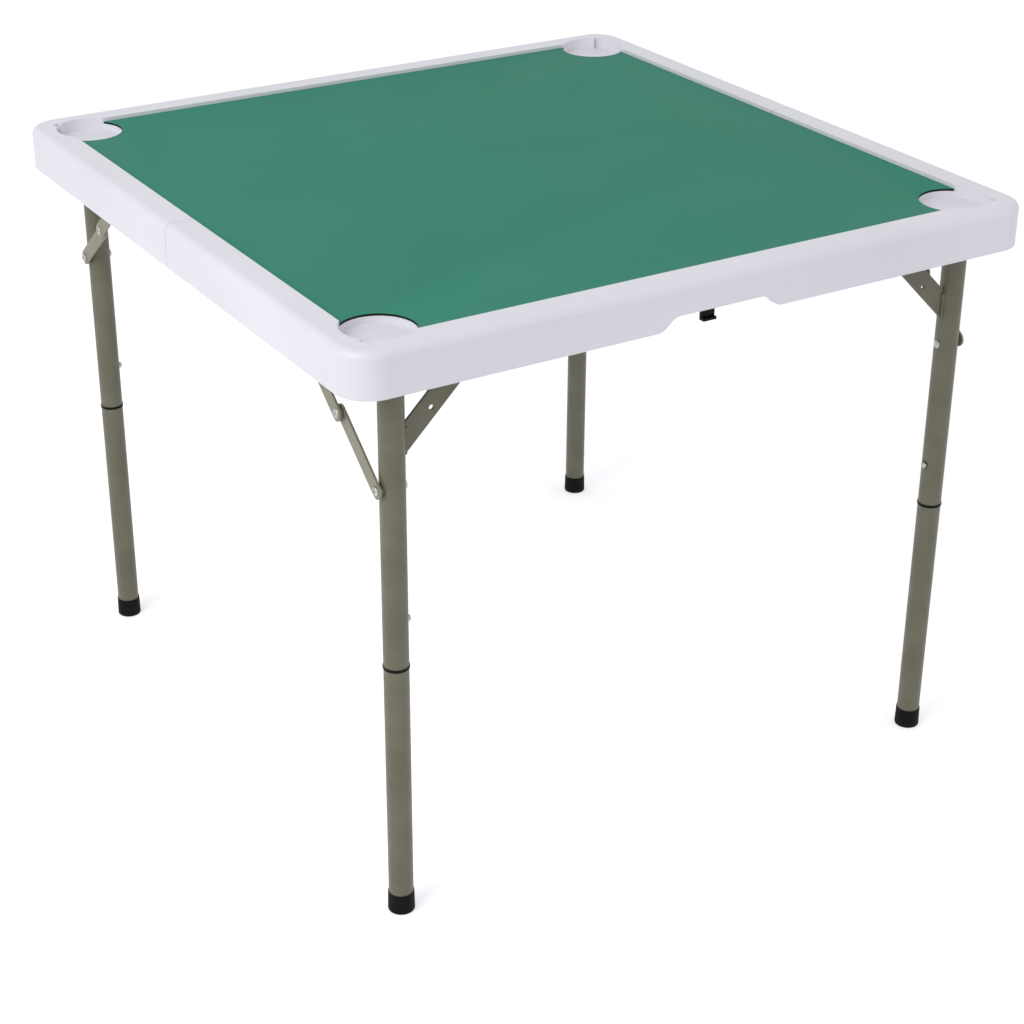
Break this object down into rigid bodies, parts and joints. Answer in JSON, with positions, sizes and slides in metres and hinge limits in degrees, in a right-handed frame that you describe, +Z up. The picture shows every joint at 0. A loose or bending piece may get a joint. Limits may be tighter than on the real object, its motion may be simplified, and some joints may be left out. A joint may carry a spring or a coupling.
{
  "type": "folding mahjong table",
  "caption": "Square folding game table: white moulded top in hinged halves with inset green mat and corner cup recesses, on folding tubular steel legs with plug-in lower ends.",
  "frame": {"origin": "floor level under the centre of the top", "axes": "+X along the handle side, +Y from the handle side across the fold, +Z up from the floor"},
  "size_m": [0.88, 0.88, 0.705],
  "materials": {
    "moulded_white": "blow-moulded white HDPE, fine satin grain",
    "green_mat": "green knit cloth face on black foamed rubber",
    "black_rubber": "moulded black rubber",
    "black_plastic": "moulded black plastic",
    "zinc_steel": "bright zinc-plated steel",
    "painted_link": "light taupe powder coat",
    "painted_steel": "grey-taupe powder coat"
  },
  "bodies": {
    "front_half": {"front_top": "moulded_white", "front_screws": "zinc_steel", "front_rails": "painted_steel", "front_brace_pivots": "zinc_steel", "front_hinge_leaves": "painted_steel", "hinge_pins": "zinc_steel", "front_saddles": "painted_steel", "handle_brackets": "black_plastic", "latch_bracket": "black_plastic", "play_mat": "green_mat"},
    "rear_half": {"rear_top": "moulded_white", "rear_screws": "zinc_steel", "rear_rails": "painted_steel", "rear_brace_pivots": "zinc_steel", "rear_hinge_leaves": "painted_steel", "rear_saddles": "painted_steel", "latch_keeper": "black_plastic"},
    "front_leg_frame": {"front_crossbar": "painted_steel", "front_left_upper_leg": "painted_steel", "front_right_upper_leg": "painted_steel", "front_gussets": "painted_steel", "front_collars": "black_plastic", "front_brace_bolts": "zinc_steel", "front_brace_washers": "zinc_steel"},
    "rear_leg_frame": {"rear_crossbar": "painted_steel", "rear_left_upper_leg": "painted_steel", "rear_right_upper_leg": "painted_steel", "rear_gussets": "painted_steel", "rear_collars": "black_plastic", "rear_brace_bolts": "zinc_steel", "rear_brace_washers": "zinc_steel"},
    "front_upper_braces": {"front_upper_links": "painted_link", "front_knee_rivets_outer": "zinc_steel"},
    "front_lower_braces": {"front_lower_links": "painted_link", "front_knee_rivets_inner": "zinc_steel"},
    "rear_upper_braces": {"rear_upper_links": "painted_link", "rear_knee_rivets_outer": "zinc_steel"},
    "rear_lower_braces": {"rear_lower_links": "painted_link", "rear_knee_rivets_inner": "zinc_steel"},
    "handle": {"carry_handle": "black_plastic"},
    "latch": {"latch_hook": "black_plastic"},
    "front_left_lower_leg": {"front_left_lower_tube": "painted_steel", "front_left_sleeve": "zinc_steel", "front_left_foot": "black_rubber"},
    "front_left_snap": {"front_left_button": "zinc_steel"},
    "front_right_lower_leg": {"front_right_lower_tube": "painted_steel", "front_right_sleeve": "zinc_steel", "front_right_foot": "black_rubber"},
    "front_right_snap": {"front_right_button": "zinc_steel"},
    "rear_left_lower_leg": {"rear_left_lower_tube": "painted_steel", "rear_left_sleeve": "zinc_steel", "rear_left_foot": "black_rubber"},
    "rear_left_snap": {"rear_left_button": "zinc_steel"},
    "rear_right_lower_leg": {"rear_right_lower_tube": "painted_steel", "rear_right_sleeve": "zinc_steel", "rear_right_foot": "black_rubber"},
    "rear_right_snap": {"rear_right_button": "zinc_steel"}
  },
  "joints": [
    {"name": "top_fold", "type": "hinge", "parent": "front_half", "child": "rear_half", "pos_m": [0, 0, 0.654], "axis": [-1, 0, 0], "range_deg": [0, 50]},
    {"name": "front_leg_fold", "type": "hinge", "parent": "front_half", "child": "front_leg_frame", "pos_m": [0, -0.392, 0.67], "axis": [-1, 0, 0], "range_deg": [-90, 0]},
    {"name": "rear_leg_fold", "type": "hinge", "parent": "rear_half", "child": "rear_leg_frame", "pos_m": [0, 0.392, 0.67], "axis": [1, 0, 0], "range_deg": [-70, 0]},
    {"name": "front_upper_brace_turn", "type": "hinge", "parent": "front_half", "child": "front_upper_braces", "pos_m": [0, -0.222, 0.67], "axis": [1, 0, 0], "range_deg": [-39.27, 0]},
    {"name": "front_lower_brace_turn", "type": "hinge", "parent": "front_leg_frame", "child": "front_lower_braces", "pos_m": [0, -0.392, 0.531], "axis": [-1, 0, 0], "range_deg": [-50.73, 0]},
    {"name": "rear_upper_brace_turn", "type": "hinge", "parent": "rear_half", "child": "rear_upper_braces", "pos_m": [0, 0.222, 0.67], "axis": [-1, 0, 0], "range_deg": [-30.54, 0]},
    {"name": "rear_lower_brace_turn", "type": "hinge", "parent": "rear_leg_frame", "child": "rear_lower_braces", "pos_m": [0, 0.392, 0.531], "axis": [1, 0, 0], "range_deg": [-39.46, 0]},
    {"name": "handle_swing", "type": "hinge", "parent": "front_half", "child": "handle", "pos_m": [0, -0.366, 0.654], "axis": [-1, 0, 0], "range_deg": [0, 180]},
    {"name": "latch_release", "type": "hinge", "parent": "front_half", "child": "latch", "pos_m": [0, -0.415, 0.675], "axis": [1, 0, 0], "range_deg": [0, 12]},
    {"name": "front_left_leg_pull", "type": "slide", "parent": "front_leg_frame", "child": "front_left_lower_leg", "axis": [0, 0, -1], "range_m": [0, 0.095]},
    {"name": "front_left_button_press", "type": "slide", "parent": "front_leg_frame", "child": "front_left_snap", "axis": [-1, 0, 0], "range_m": [0, 0.004], "stiffness_N_per_m": 1200},
    {"name": "front_right_leg_pull", "type": "slide", "parent": "front_leg_frame", "child": "front_right_lower_leg", "axis": [0, 0, -1], "range_m": [0, 0.095]},
    {"name": "front_right_button_press", "type": "slide", "parent": "front_leg_frame", "child": "front_right_snap", "axis": [1, 0, 0], "range_m": [0, 0.004], "stiffness_N_per_m": 1200},
    {"name": "rear_left_leg_pull", "type": "slide", "parent": "rear_leg_frame", "child": "rear_left_lower_leg", "axis": [0, 0, -1], "range_m": [0, 0.095]},
    {"name": "rear_left_button_press", "type": "slide", "parent": "rear_leg_frame", "child": "rear_left_snap", "axis": [-1, 0, 0], "range_m": [0, 0.004], "stiffness_N_per_m": 1200},
    {"name": "rear_right_leg_pull", "type": "slide", "parent": "rear_leg_frame", "child": "rear_right_lower_leg", "axis": [0, 0, -1], "range_m": [0, 0.095]},
    {"name": "rear_right_button_press", "type": "slide", "parent": "rear_leg_frame", "child": "rear_right_snap", "axis": [1, 0, 0], "range_m": [0, 0.004], "stiffness_N_per_m": 1200}
  ],
  "couplings": [
    {"joint": "front_upper_brace_turn", "follows": "front_leg_fold", "ratio": 0.43634},
    {"joint": "front_lower_brace_turn", "follows": "front_leg_fold", "ratio": 0.56365},
    {"joint": "rear_upper_brace_turn", "follows": "rear_leg_fold", "ratio": 0.43634},
    {"joint": "rear_lower_brace_turn", "follows": "rear_leg_fold", "ratio": 0.56365}
  ]
}
